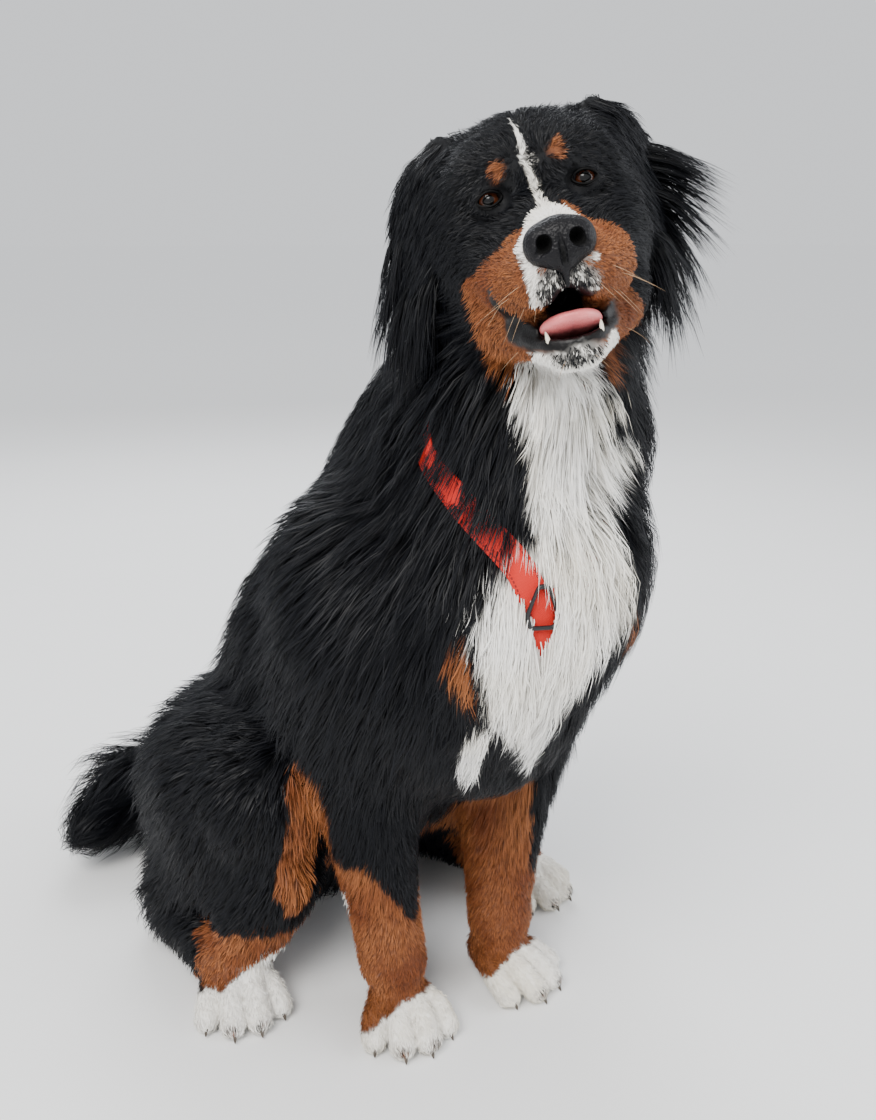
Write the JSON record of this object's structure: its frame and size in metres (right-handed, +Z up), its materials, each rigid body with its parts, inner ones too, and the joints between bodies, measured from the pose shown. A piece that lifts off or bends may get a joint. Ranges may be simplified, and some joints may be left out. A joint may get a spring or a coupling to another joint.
{
  "type": "bernese mountain dog",
  "caption": "Life-size sitting Bernese mountain dog with its mouth a little open, head turned, wearing a strap harness.",
  "frame": {"origin": "on the floor at the middle of the flat that the rump rests on, in the trunk's plane of symmetry", "axes": "+Z up, the chest faces -Y, the dog's left side is +X"},
  "size_m": [0.5058, 0.8708, 0.8752],
  "materials": {
    "coat_black": "long, slightly wavy hair with a faint blue sheen",
    "coat_white": "dense soft hair",
    "coat_rust": "short dense hair",
    "nose_leather": "damp, finely pebbled",
    "tongue": "wet",
    "iris": "clear and wet",
    "strap": "woven webbing, matte",
    "ring": "satin"
  },
  "bodies": {
    "root": {"head": "coat_black", "lower_jaw": "coat_white", "nose": "nose_leather", "tongue": "tongue", "eye_right": "iris", "eye_left": "iris", "ear_right": "coat_black", "ear_left": "coat_black", "neck": "coat_black", "torso": "coat_black", "foreleg_right": "coat_rust", "foreleg_left": "coat_rust", "paw_front_right": "coat_white", "paw_front_left": "coat_white", "hind_leg_right": "coat_black", "hind_leg_left": "coat_black", "paw_hind_right": "coat_white", "paw_hind_left": "coat_white", "tail_base": "coat_black", "tail_tip": "coat_black", "harness_neck_strap": "strap", "harness_breast_strap": "strap", "harness_girth_strap": "strap", "harness_back_strap": "strap", "harness_ring": "ring"}
  },
  "joints": []
}
